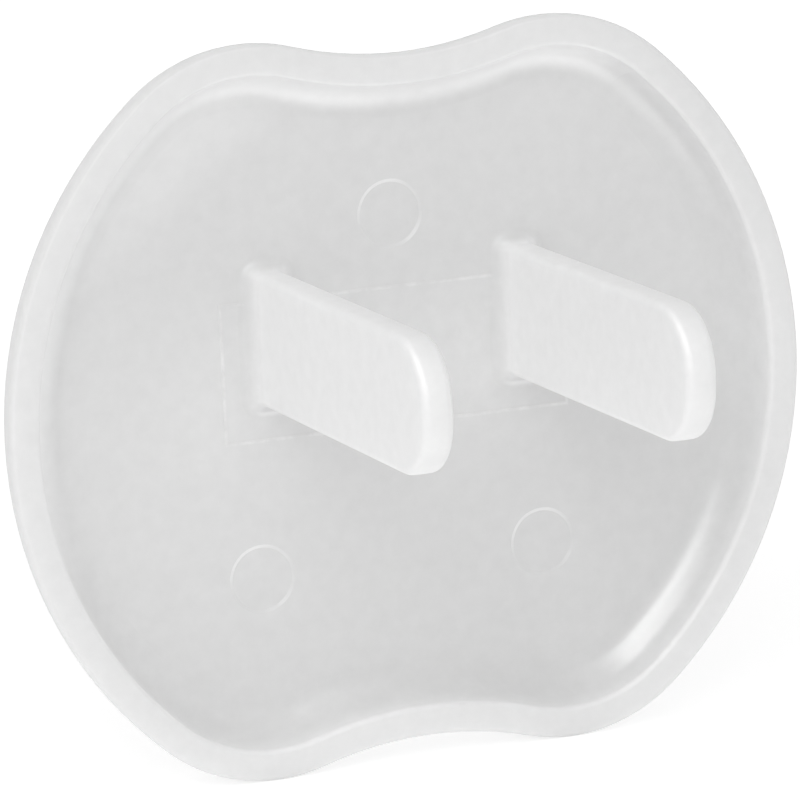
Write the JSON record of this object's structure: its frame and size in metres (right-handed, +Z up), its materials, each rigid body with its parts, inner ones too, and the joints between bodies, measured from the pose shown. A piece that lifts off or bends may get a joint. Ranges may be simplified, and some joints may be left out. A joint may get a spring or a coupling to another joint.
{
  "type": "outlet safety cover",
  "caption": "Plug-in safety cover that blocks a mains outlet: a shallow lobed dish with a flat rim and a pair of round-tipped plastic blades.",
  "frame": {"origin": "on the plane where the rim meets the outlet, midway between the two blades", "axes": "as fitted: +Z up, +Y into the wall along the blades, +X to the right as seen from the room"},
  "size_m": [0.04, 0.0217, 0.0348],
  "materials": {
    "frosted_plastic": "milky, slightly translucent moulded plastic with a satin gloss"
  },
  "bodies": {
    "root": {"cover": "frosted_plastic"}
  },
  "joints": []
}
